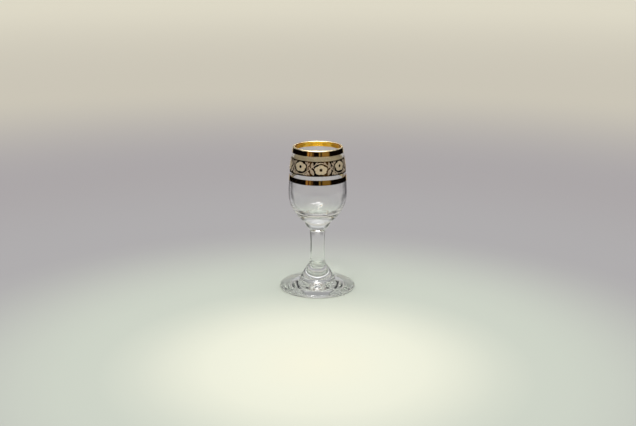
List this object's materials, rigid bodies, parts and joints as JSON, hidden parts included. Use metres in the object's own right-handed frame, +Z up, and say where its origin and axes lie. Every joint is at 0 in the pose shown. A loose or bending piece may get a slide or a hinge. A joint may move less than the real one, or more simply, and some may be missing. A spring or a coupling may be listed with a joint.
{
  "type": "stemmed spirit glass",
  "caption": "Small stemmed glass for spirits: clear oval bowl with a gilded mouth, gold bands and a floral scroll, on a short waisted stem and a wide round foot.",
  "frame": {"origin": "centre of the circle on which the foot rests, on the surface that the glass stands on", "axes": "+Z up along the axis of the glass, from foot to mouth; -Y is the front, close to the middle of a low flower of the scroll"},
  "size_m": [0.0584, 0.0584, 0.1122],
  "materials": {
    "clear_glass": "clear, fire polished",
    "polished_gold": "fired gold, mirror bright",
    "matt_gold": "fired gold, matt"
  },
  "bodies": {
    "root": {"bowl": "clear_glass", "collar": "clear_glass", "stem": "clear_glass", "foot": "clear_glass", "lip_band": "polished_gold", "scroll_ground": "polished_gold", "lower_band": "polished_gold", "flower_1": "matt_gold", "flower_2": "matt_gold", "flower_3": "matt_gold", "flower_4": "matt_gold", "flower_5": "matt_gold", "flower_6": "matt_gold", "flower_7": "matt_gold", "flower_8": "matt_gold", "spray_1": "matt_gold", "spray_2": "matt_gold", "spray_3": "matt_gold", "spray_4": "matt_gold", "spray_5": "matt_gold", "spray_6": "matt_gold", "spray_7": "matt_gold", "spray_8": "matt_gold"}
  },
  "joints": []
}
